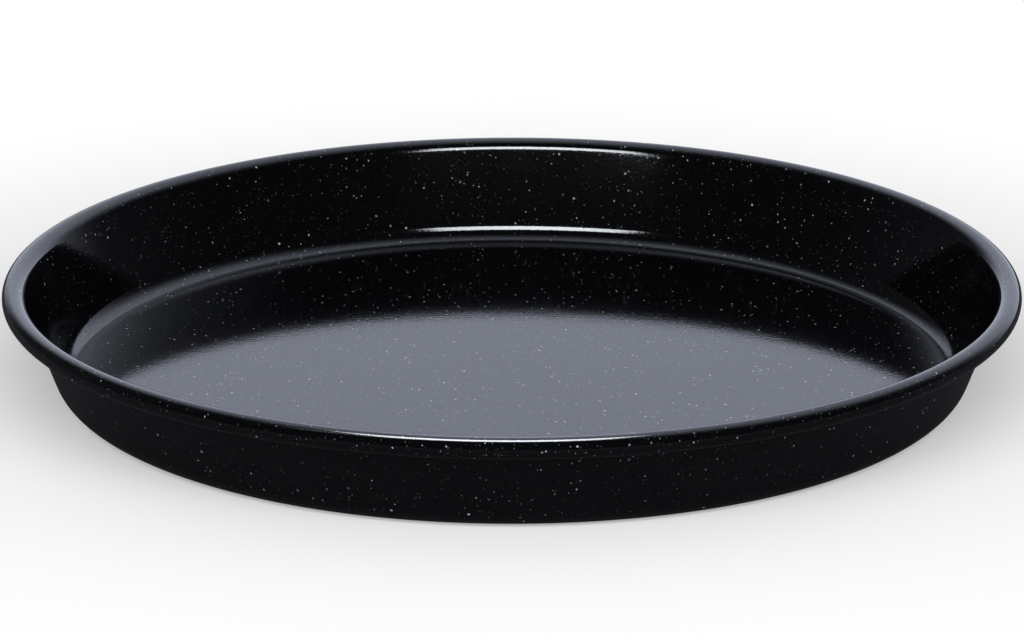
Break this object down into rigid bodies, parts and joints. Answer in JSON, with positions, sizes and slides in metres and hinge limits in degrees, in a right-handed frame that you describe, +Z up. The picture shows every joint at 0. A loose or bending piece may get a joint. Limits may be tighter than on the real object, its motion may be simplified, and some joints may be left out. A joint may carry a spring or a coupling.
{
  "type": "pizza pan",
  "caption": "Round shallow pizza pan of pressed steel under speckled black enamel, with a flat floor, a flared wall and a rolled rim.",
  "frame": {"origin": "the middle of the underside, on the surface that the pan stands on", "axes": "+Z is up, along the pan's axis; the pan is round, so X and Y may point any way"},
  "size_m": [0.32, 0.32, 0.033],
  "materials": {
    "inside_enamel": "glossy black glass enamel with fine white and blue-grey specks",
    "sheet_steel": "bare cut edge of the sheet inside the rolled rim",
    "underside_enamel": "glossy black glass enamel with sparser white specks"
  },
  "bodies": {
    "root": {"inside_enamel": "inside_enamel", "steel_body": "sheet_steel", "underside_enamel": "underside_enamel"}
  },
  "joints": []
}
